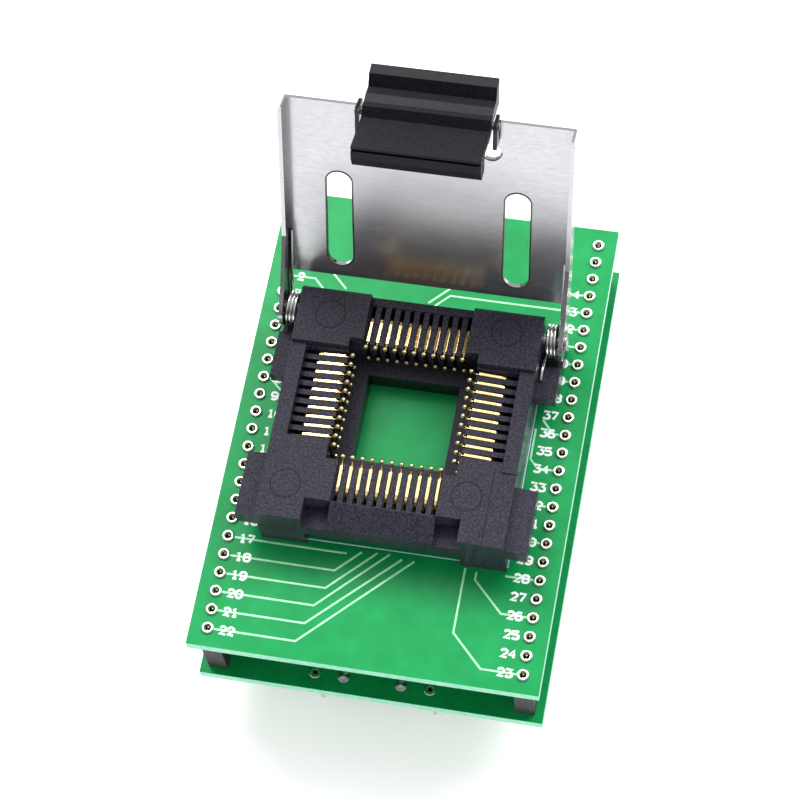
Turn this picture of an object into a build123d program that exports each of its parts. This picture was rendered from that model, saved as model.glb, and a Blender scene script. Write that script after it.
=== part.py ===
from build123d import *
import math
import os

# Burn-in socket for a 44-contact chip on a two-board adapter, in millimetres.
# The origin is at the centre of the adapter pins, at the height of their tips. +Z is up and -Y is the latch side.

# Pin field of the adapter
PIN_PITCH = 2.54
PINS_PER_ROW = 25
INNER_ROW_X = 7.62

# Boards
BOARD_WIDTH = 45.4
ROW_EDGE_MARGIN = 2.38
TOP_BOARD_LENGTH = 65.85
BOTTOM_BOARD_LENGTH = 65.5
BOARD_THICKNESS = 1.6
HOLE_CLEARANCE = 0.03

# Adapter pins and their strips
DIP_PIN_WIDTH = 0.5
DIP_PIN_LENGTH = 6.0
DIP_STRIP_HEIGHT = 2.5
STRIP_WIDTH = 2.54
STRIP_LENGTH = PINS_PER_ROW * PIN_PITCH

# Receptacle strips between the boards
HEADER_HEIGHT = 8.5
HEADER_FOOT_GAP = 1.0
HEADER_FOOT_RISE = 0.7
CARRIER_HEIGHT = 1.55
CONTACT_BLADE = 0.6
CONTACT_BLADE_TOP = 3.4
BLADE_TAIL = 0.9
RECEPTACLE_HEAD_RADIUS = 0.82
RECEPTACLE_HEAD_HEIGHT = 0.3
RECEPTACLE_SHANK = 0.7
RECEPTACLE_TAIL = 4.4

# Socket body, heights above the upper board
BODY_HALF_WIDTH = 16.0
BODY_FRONT_Y = -17.2
BODY_BACK_Y = 15.1
RIB_TOP = 7.9
SIDE_WALL_TOP = 8.2
BACK_WALL_TOP = 7.4
BACK_BLOCK_TOP = 8.75
BACK_BLOCK_FRONT_Y = 7.2
BACK_BLOCK_CHAMFER = 0.45
FRONT_BLOCK_BACK_Y = -7.1
BLOCK_INNER_X = 6.8
FRONT_HORN_INNER_X = 10.05
FRONT_HORN_BACK_Y = -14.15
CAVITY_HALF = 8.45
LEDGE_TOP = 3.0
WINDOW_HALF = 6.05
CATCH_FRONT_TOP = 6.2
CATCH_BOTTOM = 3.3
SHELF_TOP = 5.5
RECESS_BACK_Y = -14.8
MARK_BAND_X = 13.1
MARK_BAND_DEPTH = 0.15

# Lugs and ledges outside the body
LUG_OUTER_X = 18.8
LUG_FRONT_Y = -17.0
LUG_BACK_Y = -8.3
LUG_BOTTOM = 4.0
LUG_TOP_INNER = 6.9
LUG_TOP_OUTER = 6.3
REAR_LEDGE_OUTER_X = 18.7
LEFT_LEDGE_FRONT_Y = 3.65
RIGHT_LEDGE_FRONT_Y = 5.3
REAR_LEDGE_BACK_Y = 10.4
REAR_LEDGE_TOP = 4.3
REAR_LEDGE_BOTTOM = 2.5
SPRING_FLOOR_FRONT_Y = 8.0
REAR_RELIEF_RADIUS = 3.4

# Chip contacts
CONTACTS_PER_SIDE = 11
CONTACT_PITCH = 1.27
SLOT_WIDTH = 0.56
SLOT_OUTER = 14.0
CONTACT_THICKNESS = 0.36
CONTACT_OUTER = 12.2
CONTACT_SEAT_GAP = 0.05
SPINE_WIDTH = 0.5
UPPER_ARM_TOP = 8.1
UPPER_ARM_THICKNESS = 0.5
UPPER_TIP_X = 7.6
UPPER_TIP_TOP = 7.8
LOWER_ARM_THICKNESS = 0.6
LOWER_TIP_X = 7.75
LOWER_TIP_TOP = 4.2
LOWER_TIP_WIDTH = 0.45
LOWER_TIP_BEVEL = 0.2
LOWER_STEM_WIDTH = 0.45
LOWER_STEM_CLEARANCE = 0.1
UPPER_TIP_WIDTH = 0.35
UPPER_TIP_BEVEL = 0.15
UPPER_TIP_NECK = 0.1

# Hinge
HINGE_Y = 13.1
HINGE_HEIGHT = 5.6
HINGE_PIN_RADIUS = 0.75
HINGE_BORE_CLEARANCE = 0.04
HINGE_PIN_INNER_X = 12.6
HINGE_HEAD_RADIUS = 1.1
HINGE_HEAD_THICKNESS = 0.25
HINGE_HEAD_GAP = 0.06

# Torsion springs
SPRING_RADIUS = 2.1
SPRING_WIRE = 0.46
SPRING_COIL_GAP = 0.02
SPRING_FULL_TURNS = 3
SPRING_STEPS = 12
SPRING_INNER_X = 16.36
SPRING_SEAT_GAP = 0.03
BODY_LEG_END_Y = 7.8
LID_LEG_END_U = 10.5

# Lid, in its own frame: X along the hinge, U away from the hinge, N towards the chip side
LID_REST_ANGLE = 66.3
LID_HALF_WIDTH = 18.75
LID_THICKNESS = 0.55
LID_INNER_N = -3.3
LID_HINGE_EDGE_U = 3.7
LID_FRONT_U = 31.5
LID_CORNER_RADIUS = 0.5
FLANGE_EDGE_N = -1.0
FLANGE_STRAIGHT_U = 11.0
FLANGE_NECK_U = 3.5
FLANGE_NECK_N = 1.0
EAR_RADIUS = 2.5
LID_SLOT_X = 11.55
LID_SLOT_START_U = 5.5
LID_SLOT_END_U = 20.7
LID_SLOT_WIDTH = 3.35
LID_CENTRE_EDGE_U = 29.8
TAB_INNER_X = 8.4
TAB_BACK_U = 28.5
TAB_FRONT_U = 32.3
TAB_EDGE_N = -1.5
RELIEF_SLOT_WIDTH = 0.5
KEYHOLE_X = 8.0
KEYHOLE_U = 26.8
KEYHOLE_RADIUS = 1.2

# Latch, in the lid's frame
LATCH_PIN_U = 31.5
LATCH_PIN_N = -2.4
LATCH_PIN_RADIUS = 0.5
LATCH_PIN_HALF_LENGTH = 9.1
LATCH_BORE_CLEARANCE = 0.04
LATCH_TAB_CLEARANCE = 0.02
LATCH_HALF_WIDTH = 8.1
ARM_INNER_U = 30.4
ARM_THICKNESS = 0.95
HOOK_CATCH_N = 2.4
HOOK_DEPTH = 2.55
HOOK_LENGTH = 2.3
HOOK_TIP_BEVEL = 0.4
HOOK_LEAD_LENGTH = 1.4
HOOK_LEAD_HEIGHT = 0.7
HOOK_GROOVE_WIDTH = 0.35
HOOK_GROOVE_DEPTH = 0.3
BARREL_RADIUS = 1.1
BARREL_FLAT_HEIGHT = 0.45
LEVER_BACK_U = 31.1
LEVER_THICKNESS = 1.9
LEVER_TOP_N = -7.6
LEVER_FOOT_N = -4.05
LIP_LENGTH = 2.0
LIP_EDGE_HEIGHT = 1.5
LIP_ROOT_HEIGHT = 2.1

# Heights above the pin tips
DIP_STRIP_TOP = DIP_PIN_LENGTH + DIP_STRIP_HEIGHT
LOWER_BOARD_TOP = DIP_STRIP_TOP + BOARD_THICKNESS
HEADER_TOP = LOWER_BOARD_TOP + HEADER_HEIGHT
CARRIER_TOP = HEADER_TOP + CARRIER_HEIGHT
BOARD_TOP = CARRIER_TOP + BOARD_THICKNESS
HINGE_Z = BOARD_TOP + HINGE_HEIGHT

# Distance of the outer rows from the middle of the boards
OUTER_ROW_X = BOARD_WIDTH / 2 - ROW_EDGE_MARGIN


def block(x0, x1, y0, y1, z0, z1):
    """A box between two opposite corners."""
    size = (x1 - x0, y1 - y0, z1 - z0)
    return Pos((x0 + x1) / 2, (y0 + y1) / 2, (z0 + z1) / 2) * Box(*size)


def socket_block(x0, x1, y0, y1, z0, z1):
    """A box whose heights are measured from the upper board."""
    return block(x0, x1, y0, y1, z0 + BOARD_TOP, z1 + BOARD_TOP)


def both_sides(shape):
    """The shape and its mirror image across the YZ plane."""
    return [shape, mirror(shape, about=Plane.YZ)]


def row_positions():
    """Y of each pin in a row, front to back."""
    first = -(PINS_PER_ROW - 1) / 2 * PIN_PITCH
    return [first + i * PIN_PITCH for i in range(PINS_PER_ROW)]


def save(name, solids):
    """Writes a node made of one solid or of a group of separate solids."""
    shape = solids[0] if len(solids) == 1 else Compound(children=solids)
    export_step(shape, f"parts/{name}.step")


def x_prism(points, x0, x1):
    """A polygon of (y, z) points carried along X from x0 to x1."""
    face = make_face(Polyline([(x0, y, z) for y, z in points], close=True))
    return extrude(face, amount=x1 - x0, dir=(1, 0, 0))


def x_cylinder(radius, x0, x1, y, z):
    """A round bar along X from x0 to x1."""
    return Pos((x0 + x1) / 2, y, z) * Rot(0, 90, 0) * Cylinder(radius, x1 - x0)


def square_bar(side, x, y, z0, z1):
    """An upright square bar centred on x, y."""
    return block(x - side / 2, x + side / 2, y - side / 2, y + side / 2, z0, z1)


def make_board(length, top, holes):
    """A board whose square holes are given as (x, y, side)."""
    board = block(-BOARD_WIDTH / 2, BOARD_WIDTH / 2, -length / 2, length / 2, top - BOARD_THICKNESS, top)
    cutters = [square_bar(side, x, y, top - BOARD_THICKNESS, top) for x, y, side in holes]
    return board - cutters


def make_dip_pins(x):
    """One row of adapter pins. Each is square; the free part of the two end pins is round."""
    rows = row_positions()
    tip = Pos(x, 0, DIP_PIN_LENGTH / 2) * Cylinder(DIP_PIN_WIDTH / 2, DIP_PIN_LENGTH)
    pins = [square_bar(DIP_PIN_WIDTH, x, y, 0, LOWER_BOARD_TOP) for y in rows[1:-1]]
    for y in (rows[0], rows[-1]):
        top = square_bar(DIP_PIN_WIDTH, x, y, DIP_PIN_LENGTH, LOWER_BOARD_TOP)
        pins.append(top + Pos(0, y, 0) * tip)
    return pins


def make_strip(x, bottom, top, hole):
    """A plastic strip with a channel, as wide as a hole, in which the row of pins stands."""
    half = STRIP_WIDTH / 2
    end = STRIP_LENGTH / 2
    strip = block(x - half, x + half, -end, end, bottom, top)
    inner = row_positions()[-1] + hole / 2
    return strip - block(x - hole / 2, x + hole / 2, -inner, inner, bottom, top)


def make_header(x):
    """A receptacle strip that stands on the lower board on two long feet."""
    strip = make_strip(x, LOWER_BOARD_TOP, HEADER_TOP, RECEPTACLE_SHANK + 2 * HOLE_CLEARANCE)
    gap = block(
        x - HEADER_FOOT_GAP / 2,
        x + HEADER_FOOT_GAP / 2,
        -STRIP_LENGTH / 2,
        STRIP_LENGTH / 2,
        LOWER_BOARD_TOP,
        LOWER_BOARD_TOP + HEADER_FOOT_RISE,
    )
    return strip - gap


def make_header_contacts(x):
    """The contacts in a receptacle strip, with tails under the lower board."""
    bottom = LOWER_BOARD_TOP - BOARD_THICKNESS - BLADE_TAIL
    top = LOWER_BOARD_TOP + CONTACT_BLADE_TOP
    return [square_bar(CONTACT_BLADE, x, y, bottom, top) for y in row_positions()]


def make_receptacle(x, y):
    """A hollow receptacle pin: its head lies on the upper board and its shank ends in the strip below."""
    head = extrude(Pos(x, y, BOARD_TOP) * RegularPolygon(RECEPTACLE_HEAD_RADIUS, 6), RECEPTACLE_HEAD_HEIGHT)
    shank = square_bar(RECEPTACLE_SHANK, x, y, HEADER_TOP - RECEPTACLE_TAIL, BOARD_TOP)
    return head + shank


def make_body():
    """The moulded body, with its slots, cavity, window, blocks, lugs and ledges."""
    w = BODY_HALF_WIDTH
    body = socket_block(-w, w, BODY_FRONT_Y, BODY_BACK_Y, 0, RIB_TOP)
    raised = []
    raised += both_sides(socket_block(SLOT_OUTER, w, FRONT_BLOCK_BACK_Y, BACK_BLOCK_FRONT_Y, RIB_TOP, SIDE_WALL_TOP))
    raised += both_sides(socket_block(BLOCK_INNER_X, w, BACK_BLOCK_FRONT_Y, BODY_BACK_Y, RIB_TOP, BACK_BLOCK_TOP))
    raised += both_sides(socket_block(BLOCK_INNER_X, w, FRONT_HORN_BACK_Y, FRONT_BLOCK_BACK_Y, RIB_TOP, SIDE_WALL_TOP))
    raised += both_sides(socket_block(FRONT_HORN_INNER_X, w, BODY_FRONT_Y, FRONT_HORN_BACK_Y, RIB_TOP, SIDE_WALL_TOP))
    body = body + raised

    lug_section = Polyline(
        [
            (w, LUG_FRONT_Y, BOARD_TOP + LUG_BOTTOM),
            (LUG_OUTER_X, LUG_FRONT_Y, BOARD_TOP + LUG_BOTTOM),
            (LUG_OUTER_X, LUG_FRONT_Y, BOARD_TOP + LUG_TOP_OUTER),
            (w, LUG_FRONT_Y, BOARD_TOP + LUG_TOP_INNER),
        ],
        close=True,
    )
    lug = extrude(make_face(lug_section), amount=LUG_BACK_Y - LUG_FRONT_Y, dir=(0, 1, 0))
    outer = REAR_LEDGE_OUTER_X
    bottom = REAR_LEDGE_BOTTOM
    right_ledge = socket_block(w, outer, RIGHT_LEDGE_FRONT_Y, REAR_LEDGE_BACK_Y, bottom, REAR_LEDGE_TOP)
    left_ledge = socket_block(-outer, -w, LEFT_LEDGE_FRONT_Y, REAR_LEDGE_BACK_Y, bottom, REAR_LEDGE_TOP)
    floor = socket_block(w, outer, SPRING_FLOOR_FRONT_Y, BODY_BACK_Y, 0, bottom)
    relief = x_cylinder(REAR_RELIEF_RADIUS, w, outer, HINGE_Y, HINGE_Z)
    right_ledge = right_ledge + floor - relief
    left_ledge = left_ledge + mirror(floor, about=Plane.YZ) - mirror(relief, about=Plane.YZ)
    body = body + both_sides(lug) + right_ledge + left_ledge

    cuts = []
    band_bottom = SIDE_WALL_TOP - MARK_BAND_DEPTH
    cuts.append(socket_block(MARK_BAND_X, w, BODY_FRONT_Y, FRONT_BLOCK_BACK_Y, band_bottom, SIDE_WALL_TOP))
    cuts.append(socket_block(-BLOCK_INNER_X, BLOCK_INNER_X, SLOT_OUTER, BODY_BACK_Y, BACK_WALL_TOP, RIB_TOP))
    cuts += both_sides(
        socket_block(BLOCK_INNER_X, FRONT_HORN_INNER_X, BODY_FRONT_Y, FRONT_HORN_BACK_Y, SHELF_TOP, RIB_TOP)
    )
    slope = [
        (FRONT_HORN_BACK_Y, BOARD_TOP + RIB_TOP),
        (BODY_FRONT_Y, BOARD_TOP + CATCH_FRONT_TOP),
        (BODY_FRONT_Y, BOARD_TOP + RIB_TOP),
    ]
    cuts.append(x_prism(slope, -BLOCK_INNER_X, BLOCK_INNER_X))
    recess_half = FRONT_HORN_INNER_X
    cuts.append(socket_block(-recess_half, recess_half, BODY_FRONT_Y, RECESS_BACK_Y, 0, CATCH_BOTTOM))
    c = CAVITY_HALF
    cuts.append(socket_block(-c, c, -c, c, LEDGE_TOP, BACK_BLOCK_TOP))
    cuts.append(socket_block(-WINDOW_HALF, WINDOW_HALF, -WINDOW_HALF, WINDOW_HALF, 0, LEDGE_TOP))
    half = SLOT_WIDTH / 2
    for i in range(CONTACTS_PER_SIDE):
        v = contact_offset(i)
        cuts.append(socket_block(c, SLOT_OUTER, v - half, v + half, 0, RIB_TOP))
        cuts.append(socket_block(-SLOT_OUTER, -c, v - half, v + half, 0, RIB_TOP))
        cuts.append(socket_block(v - half, v + half, c, SLOT_OUTER, 0, RIB_TOP))
        cuts.append(socket_block(v - half, v + half, -SLOT_OUTER, -c, 0, RIB_TOP))
    bore = x_cylinder(HINGE_PIN_RADIUS + HINGE_BORE_CLEARANCE, HINGE_PIN_INNER_X, w, HINGE_Y, HINGE_Z)
    cuts += both_sides(bore)
    body = body - cuts

    back_edges = body.edges().filter_by(Axis.X).group_by(Axis.Y)[-1]
    return chamfer(back_edges.group_by(Axis.Z)[-1], BACK_BLOCK_CHAMFER)


def contact_offset(i):
    """Distance of contact i from the middle of its side."""
    return (i - (CONTACTS_PER_SIDE - 1) / 2) * CONTACT_PITCH


def make_contact():
    """One stamped chip contact on the +X side, in the plane y = 0."""
    outer = CONTACT_OUTER
    inner = outer - SPINE_WIDTH
    arm_bottom = UPPER_ARM_TOP - UPPER_ARM_THICKNESS
    stem_inner = CAVITY_HALF + CONTACT_SEAT_GAP
    stem_outer = stem_inner + LOWER_STEM_WIDTH
    neck = CAVITY_HALF + UPPER_TIP_NECK
    outline = [
        (outer, 0),
        (outer, UPPER_ARM_TOP),
        (neck, UPPER_ARM_TOP),
        (UPPER_TIP_X + UPPER_TIP_WIDTH, UPPER_TIP_TOP),
        (UPPER_TIP_X, arm_bottom + UPPER_TIP_BEVEL),
        (neck, arm_bottom),
        (inner, arm_bottom),
        (inner, LOWER_ARM_THICKNESS),
        (stem_outer, LOWER_ARM_THICKNESS),
        (stem_outer, LEDGE_TOP + LOWER_STEM_CLEARANCE),
        (LOWER_TIP_X + LOWER_TIP_WIDTH, LOWER_TIP_TOP),
        (LOWER_TIP_X, LOWER_TIP_TOP - LOWER_TIP_BEVEL),
        (stem_inner, LEDGE_TOP + LOWER_STEM_CLEARANCE),
        (stem_inner, 0),
    ]
    y0 = -CONTACT_THICKNESS / 2
    face = make_face(Polyline([(s, y0, BOARD_TOP + h) for s, h in outline], close=True))
    return extrude(face, amount=CONTACT_THICKNESS, dir=(0, 1, 0))


def make_contact_row(angle):
    """The contacts of one side, turned about the socket's centre."""
    contact = make_contact()
    return [Rot(0, 0, angle) * Pos(0, contact_offset(i), 0) * contact for i in range(CONTACTS_PER_SIDE)]


def make_hinge_pin():
    """The right hinge pin: its shank ends inside the body and its head is outside the lid's ear."""
    head_x = LID_HALF_WIDTH + HINGE_HEAD_GAP
    shank = x_cylinder(HINGE_PIN_RADIUS, HINGE_PIN_INNER_X, head_x, HINGE_Y, HINGE_Z)
    head = x_cylinder(HINGE_HEAD_RADIUS, head_x, head_x + HINGE_HEAD_THICKNESS, HINGE_Y, HINGE_Z)
    return shank + head


def in_lid(u, n):
    """(y, z) of a lid point at rest."""
    a = math.radians(LID_REST_ANGLE)
    y = HINGE_Y + u * math.cos(a) - n * math.sin(a)
    z = HINGE_Z + u * math.sin(a) + n * math.cos(a)
    return y, z


def make_spring():
    """The right torsion spring, from the leg on the body's ledge to the leg on the lid."""
    wire = SPRING_WIRE / 2
    rest_z = BOARD_TOP + REAR_LEDGE_TOP + wire + SPRING_SEAT_GAP
    bend_y = HINGE_Y - REAR_RELIEF_RADIUS + SPRING_SEAT_GAP
    dy = bend_y - HINGE_Y
    dz = rest_z - HINGE_Z
    start = math.atan2(dz, dy) + math.acos(SPRING_RADIUS / math.hypot(dy, dz))
    end = math.radians(LID_REST_ANGLE - 90)
    while end < start:
        end += 2 * math.pi
    end += 2 * math.pi * SPRING_FULL_TURNS
    steps = round((end - start) / (2 * math.pi) * SPRING_STEPS)
    points = [(SPRING_INNER_X, BODY_LEG_END_Y, rest_z), (SPRING_INNER_X, bend_y, rest_z)]
    for i in range(steps + 1):
        t = i / steps
        a = start + (end - start) * t
        x = SPRING_INNER_X + (SPRING_WIRE + SPRING_COIL_GAP) * (end - start) / (2 * math.pi) * t
        points.append((x, HINGE_Y + SPRING_RADIUS * math.cos(a), HINGE_Z + SPRING_RADIUS * math.sin(a)))
    y, z = in_lid(LID_LEG_END_U, LID_INNER_N + wire + SPRING_SEAT_GAP)
    points.append((points[-1][0], y, z))
    path = Polyline(points)
    section = Plane(origin=points[0], z_dir=(0, 1, 0)) * RegularPolygon(wire, 6)
    return sweep(section, path=path, transition=Transition.RIGHT)


def place_lid(shape):
    """Moves a shape from the lid's frame to its place at rest."""
    return Pos(0, HINGE_Y, HINGE_Z) * Rot(LID_REST_ANGLE, 0, 0) * shape


def make_lid():
    """The stamped lid in its own frame."""
    outer_n = LID_INNER_N - LID_THICKNESS
    w = LID_HALF_WIDTH
    back_u = -EAR_RADIUS
    outline = Pos(0, (back_u + LID_FRONT_U) / 2, outer_n) * Rectangle(2 * w, LID_FRONT_U - back_u)
    front_corners = outline.vertices().sort_by(Axis.Y)[-2:]
    outline = fillet(front_corners, LID_CORNER_RADIUS)
    pan = extrude(outline, EAR_RADIUS - outer_n)
    inside = block(
        -(w - LID_THICKNESS), w - LID_THICKNESS, back_u, LID_FRONT_U, LID_INNER_N, EAR_RADIUS
    )
    pan = pan - inside

    reach = math.hypot(FLANGE_NECK_U, FLANGE_NECK_N)
    a = math.atan2(FLANGE_NECK_N, FLANGE_NECK_U) + math.acos(EAR_RADIUS / reach)
    side = [
        (LID_FRONT_U, outer_n),
        (LID_FRONT_U, FLANGE_EDGE_N),
        (FLANGE_STRAIGHT_U, FLANGE_EDGE_N),
        (FLANGE_NECK_U, FLANGE_NECK_N),
        (EAR_RADIUS * math.cos(a), EAR_RADIUS * math.sin(a)),
        (0, 0),
        (0, -EAR_RADIUS),
        (LID_HINGE_EDGE_U, LID_INNER_N),
        (LID_HINGE_EDGE_U, outer_n),
    ]
    keep = x_prism(side, -w, w) + x_cylinder(EAR_RADIUS, -w, w, 0, 0)
    lid = pan & keep

    centre = block(-TAB_INNER_X, TAB_INNER_X, LID_CENTRE_EDGE_U, LID_FRONT_U, outer_n, LID_INNER_N)
    tab = block(TAB_INNER_X, TAB_INNER_X + LID_THICKNESS, TAB_BACK_U, TAB_FRONT_U, outer_n, TAB_EDGE_N)
    lid = lid - centre + both_sides(tab)

    cuts = []
    slot_length = LID_SLOT_END_U - LID_SLOT_START_U
    slot = extrude(Rot(0, 0, 90) * SlotOverall(slot_length, LID_SLOT_WIDTH), 2 * LID_THICKNESS)
    slot = Pos(LID_SLOT_X, (LID_SLOT_START_U + LID_SLOT_END_U) / 2, outer_n) * slot
    cuts += both_sides(slot)
    keyhole = Pos(KEYHOLE_X, KEYHOLE_U, LID_INNER_N) * Cylinder(KEYHOLE_RADIUS, 2 * LID_THICKNESS)
    cuts += both_sides(keyhole)
    relief = block(TAB_INNER_X - RELIEF_SLOT_WIDTH, TAB_INNER_X, KEYHOLE_U, LID_FRONT_U, outer_n, LID_INNER_N)
    cuts += both_sides(relief)
    ear_radius = HINGE_PIN_RADIUS + HINGE_BORE_CLEARANCE
    cuts.append(x_cylinder(ear_radius, -w, w, 0, 0))
    tab_end = TAB_INNER_X + LID_THICKNESS
    cuts.append(x_cylinder(LATCH_PIN_RADIUS + LATCH_TAB_CLEARANCE, -tab_end, tab_end, LATCH_PIN_U, LATCH_PIN_N))
    return lid - cuts


def make_latch():
    """The moulded latch in the lid's frame: finger lip, lever, barrel round the pin, arm and ramped hook."""
    arm_outer = ARM_INNER_U + ARM_THICKNESS
    lever_front = LEVER_BACK_U + LEVER_THICKNESS
    hook_tip = ARM_INNER_U - HOOK_LENGTH
    hook_bottom = HOOK_CATCH_N + HOOK_DEPTH
    barrel = BARREL_RADIUS
    profile = [
        (LEVER_BACK_U, LEVER_TOP_N),
        (lever_front + LIP_LENGTH, LEVER_TOP_N),
        (lever_front + LIP_LENGTH - HOOK_TIP_BEVEL, LEVER_TOP_N + LIP_EDGE_HEIGHT),
        (lever_front, LEVER_TOP_N + LIP_ROOT_HEIGHT),
        (lever_front, LEVER_FOOT_N),
        (LATCH_PIN_U + barrel, LATCH_PIN_N - BARREL_FLAT_HEIGHT),
        (LATCH_PIN_U + barrel, LATCH_PIN_N + BARREL_FLAT_HEIGHT),
        (arm_outer, LATCH_PIN_N + barrel),
        (arm_outer, hook_bottom),
        (arm_outer - HOOK_GROOVE_WIDTH, hook_bottom),
        (arm_outer - HOOK_GROOVE_WIDTH, hook_bottom - HOOK_GROOVE_DEPTH),
        (arm_outer - 2 * HOOK_GROOVE_WIDTH, hook_bottom - HOOK_GROOVE_DEPTH),
        (arm_outer - 2 * HOOK_GROOVE_WIDTH, hook_bottom),
        (hook_tip + HOOK_LEAD_LENGTH, hook_bottom),
        (hook_tip, hook_bottom - HOOK_LEAD_HEIGHT),
        (hook_tip, HOOK_CATCH_N + HOOK_TIP_BEVEL),
        (hook_tip + HOOK_TIP_BEVEL, HOOK_CATCH_N),
        (ARM_INNER_U, HOOK_CATCH_N),
        (ARM_INNER_U, LATCH_PIN_N - barrel),
        (LEVER_BACK_U, LEVER_FOOT_N),
    ]
    latch = x_prism(profile, -LATCH_HALF_WIDTH, LATCH_HALF_WIDTH)
    bore = x_cylinder(
        LATCH_PIN_RADIUS + LATCH_BORE_CLEARANCE, -LATCH_HALF_WIDTH, LATCH_HALF_WIDTH, LATCH_PIN_U, LATCH_PIN_N
    )
    return latch - bore


def main():
    """Builds and writes every node."""
    os.makedirs("parts", exist_ok=True)
    rows = row_positions()
    dip_hole = DIP_PIN_WIDTH + 2 * HOLE_CLEARANCE
    blade_hole = CONTACT_BLADE + 2 * HOLE_CLEARANCE
    shank_hole = RECEPTACLE_SHANK + 2 * HOLE_CLEARANCE

    lower_holes = [(side * INNER_ROW_X, y, dip_hole) for side in (-1, 1) for y in rows]
    lower_holes += [(side * OUTER_ROW_X, y, blade_hole) for side in (-1, 1) for y in rows]
    save("bottom_board", [make_board(BOTTOM_BOARD_LENGTH, LOWER_BOARD_TOP, lower_holes)])
    upper_holes = [(side * OUTER_ROW_X, y, shank_hole) for side in (-1, 1) for y in rows]
    save("top_board", [make_board(TOP_BOARD_LENGTH, BOARD_TOP, upper_holes)])

    for side, word in ((-1, "left"), (1, "right")):
        save(f"dip_pins_{word}", make_dip_pins(side * INNER_ROW_X))
        save(f"dip_strip_{word}", [make_strip(side * INNER_ROW_X, DIP_PIN_LENGTH, DIP_STRIP_TOP, dip_hole)])
        save(f"header_strip_{word}", [make_header(side * OUTER_ROW_X)])
        save(f"header_contacts_{word}", make_header_contacts(side * OUTER_ROW_X))
        save(f"carrier_strip_{word}", [make_strip(side * OUTER_ROW_X, HEADER_TOP, CARRIER_TOP, shank_hole)])
        save(f"receptacle_pins_{word}", [make_receptacle(side * OUTER_ROW_X, y) for y in rows])

    save("socket_body", [make_body()])
    for angle, word in ((0, "right"), (90, "back"), (180, "left"), (270, "front")):
        save(f"contacts_{word}", make_contact_row(angle))

    save("hinge_pins", both_sides(make_hinge_pin()))
    right_spring, left_spring = both_sides(make_spring())
    save("torsion_spring_right", [right_spring])
    save("torsion_spring_left", [left_spring])
    save("lid_plate", [place_lid(make_lid())])
    latch_pin = x_cylinder(LATCH_PIN_RADIUS, -LATCH_PIN_HALF_LENGTH, LATCH_PIN_HALF_LENGTH, LATCH_PIN_U, LATCH_PIN_N)
    save("latch_pin", [place_lid(latch_pin)])
    save("latch", [place_lid(make_latch())])


main()
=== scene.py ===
"""Burn-in socket on a two-board adapter: looks, fine pieces, camera and light for the CAD frame."""

import math

import bpy
from mathutils import Matrix, Vector


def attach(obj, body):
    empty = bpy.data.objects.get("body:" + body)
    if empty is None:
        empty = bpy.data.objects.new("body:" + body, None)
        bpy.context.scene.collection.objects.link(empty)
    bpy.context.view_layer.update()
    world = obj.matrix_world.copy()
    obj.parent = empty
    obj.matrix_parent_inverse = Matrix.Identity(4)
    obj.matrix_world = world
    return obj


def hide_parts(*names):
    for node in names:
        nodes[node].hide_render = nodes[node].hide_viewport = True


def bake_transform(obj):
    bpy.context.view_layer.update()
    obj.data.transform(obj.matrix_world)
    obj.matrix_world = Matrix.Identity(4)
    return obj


MM = 0.001
SIDES = ((-1, "left"), (1, "right"))

# Sizes that the solids also have, in millimetres
BOARD_TOP = 21.75
LOWER_BOARD_TOP = 10.1
PIN_PITCH = 2.54
PINS_PER_ROW = 25
OUTER_ROW_X = 20.32
INNER_ROW_X = 7.62
FILLED_ROW_X = 3.81
HINGE_Y = 13.1
HINGE_Z = BOARD_TOP + 5.6
LID_REST_ANGLE = 66.3
LID_INNER_N = -3.3
CONTACT_PITCH = 1.27
CONTACTS_PER_SIDE = 11


# Node materials


def new_material(name, color, roughness, metallic=0.0, **inputs):
    """A Principled material with its constants on the shader's own sockets."""
    material = bpy.data.materials.new(name)
    material.use_nodes = True
    shader = material.node_tree.nodes["Principled BSDF"]
    shader.inputs["Base Color"].default_value = (*color, 1.0)
    shader.inputs["Roughness"].default_value = roughness
    shader.inputs["Metallic"].default_value = metallic
    for key, value in inputs.items():
        shader.inputs[key.replace("_", " ")].default_value = value
    return material


def add_node(material, kind, **values):
    """A node with some of its properties and inputs set."""
    node = material.node_tree.nodes.new(kind)
    for key, value in values.items():
        if hasattr(node, key):
            setattr(node, key, value)
        else:
            node.inputs[key.replace("_", " ")].default_value = value
    return node


def link(material, source, target):
    """A link between two sockets."""
    material.node_tree.links.new(source, target)


def noise(material, scale, detail=3.0, roughness=0.6, stretch=(1, 1, 1)):
    """Object-space noise, stretched along an axis if asked."""
    coords = add_node(material, "ShaderNodeTexCoord")
    mapping = add_node(material, "ShaderNodeMapping")
    mapping.inputs["Scale"].default_value = stretch
    values = {"Scale": scale, "Detail": detail, "Roughness": roughness}
    texture = add_node(material, "ShaderNodeTexNoise", **values)
    link(material, coords.outputs["Object"], mapping.inputs["Vector"])
    link(material, mapping.outputs["Vector"], texture.inputs["Vector"])
    return texture.outputs["Fac"]


def ramp(material, factor, stops):
    """A colour ramp with (position, colour) stops."""
    node = add_node(material, "ShaderNodeValToRGB")
    elements = node.color_ramp.elements
    while len(elements) < len(stops):
        elements.new(0.5)
    for element, (position, color) in zip(elements, stops):
        element.position = position
        element.color = (*color, 1.0) if len(color) == 3 else color
    link(material, factor, node.inputs["Fac"])
    return node.outputs["Color"]


def mix_color(material, factor, first, second):
    """A colour mixed from a socket and from a second socket or plain colour."""
    node = add_node(material, "ShaderNodeMix", data_type="RGBA")
    link(material, factor, node.inputs["Factor"])
    link(material, first, node.inputs["A"])
    if isinstance(second, tuple):
        node.inputs["B"].default_value = (*second, 1.0)
    else:
        link(material, second, node.inputs["B"])
    return node.outputs["Result"]


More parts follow.
